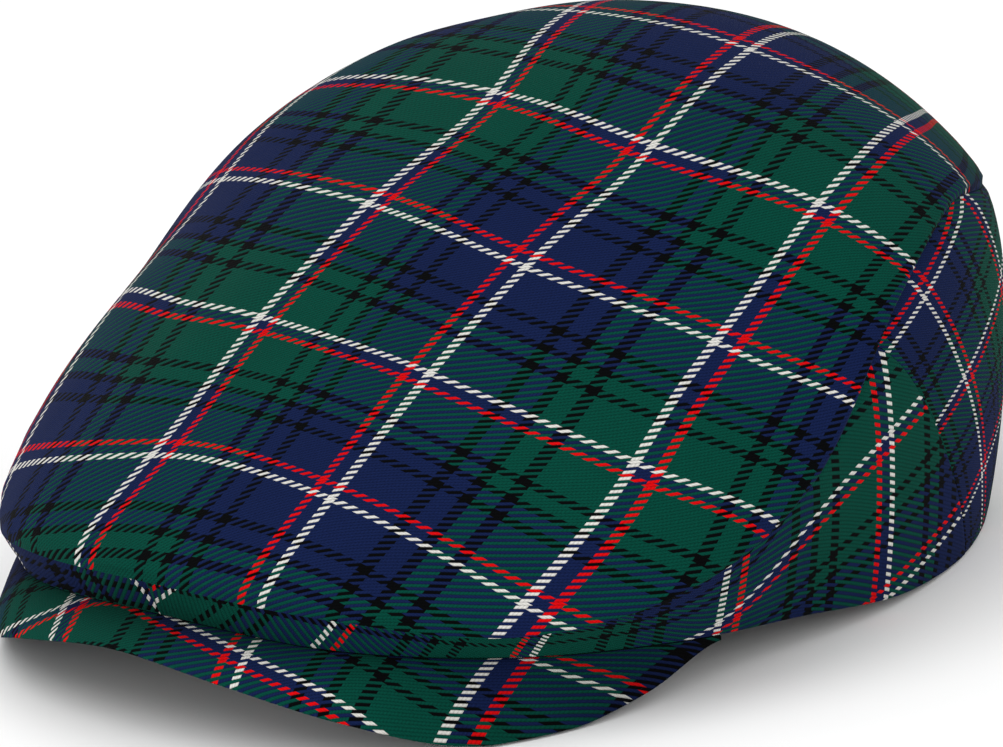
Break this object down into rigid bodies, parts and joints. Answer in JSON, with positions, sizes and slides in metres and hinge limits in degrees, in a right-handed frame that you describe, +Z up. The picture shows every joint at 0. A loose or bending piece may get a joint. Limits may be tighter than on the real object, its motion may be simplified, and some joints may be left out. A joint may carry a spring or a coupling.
{
  "type": "flat cap",
  "caption": "Tartan wool flat cap with a one-piece domed top, side and back panels, and a stiff peak that droops at both temples.",
  "frame": {"origin": "on the table, midway along and across the cap", "axes": "+Z up, the front of the cap towards -Y, the wearer's left towards +X; X = 0 is the mirror plane"},
  "size_m": [0.1964, 0.2436, 0.1089],
  "materials": {
    "top_tartan": "napped twill",
    "side_tartan": "napped twill",
    "back_tartan": "napped twill, cut on the bias",
    "peak_tartan": "napped twill over a stiff board"
  },
  "bodies": {
    "root": {"top_panel": "top_tartan", "side_panel_left": "side_tartan", "side_panel_right": "side_tartan", "back_panel": "back_tartan", "peak": "peak_tartan"}
  },
  "joints": []
}
